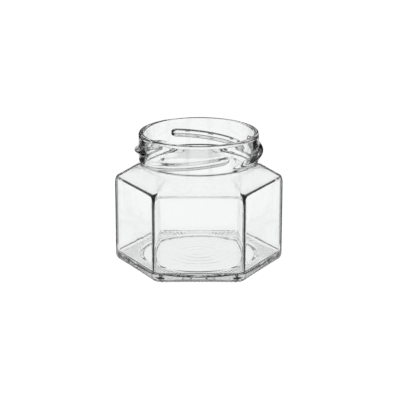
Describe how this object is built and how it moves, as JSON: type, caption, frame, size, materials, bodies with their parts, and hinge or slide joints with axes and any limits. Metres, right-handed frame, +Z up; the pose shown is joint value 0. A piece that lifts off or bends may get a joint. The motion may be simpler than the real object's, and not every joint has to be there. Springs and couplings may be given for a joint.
{
  "type": "hexagonal glass jar",
  "caption": "Small hexagonal clear glass jar with a sloping shoulder and a round twist-off mouth with lugs, open and empty.",
  "frame": {"origin": "middle of the base, in the plane that the jar stands on", "axes": "+Z up along the neck's axis, +X through two opposite corners, a flat panel faces -Y and another +Y"},
  "size_m": [0.069, 0.0608, 0.055],
  "materials": {
    "clear_glass": "clear pressed flint glass, smooth, fire-polished"
  },
  "bodies": {
    "root": {"glass_jar": "clear_glass"}
  },
  "joints": []
}
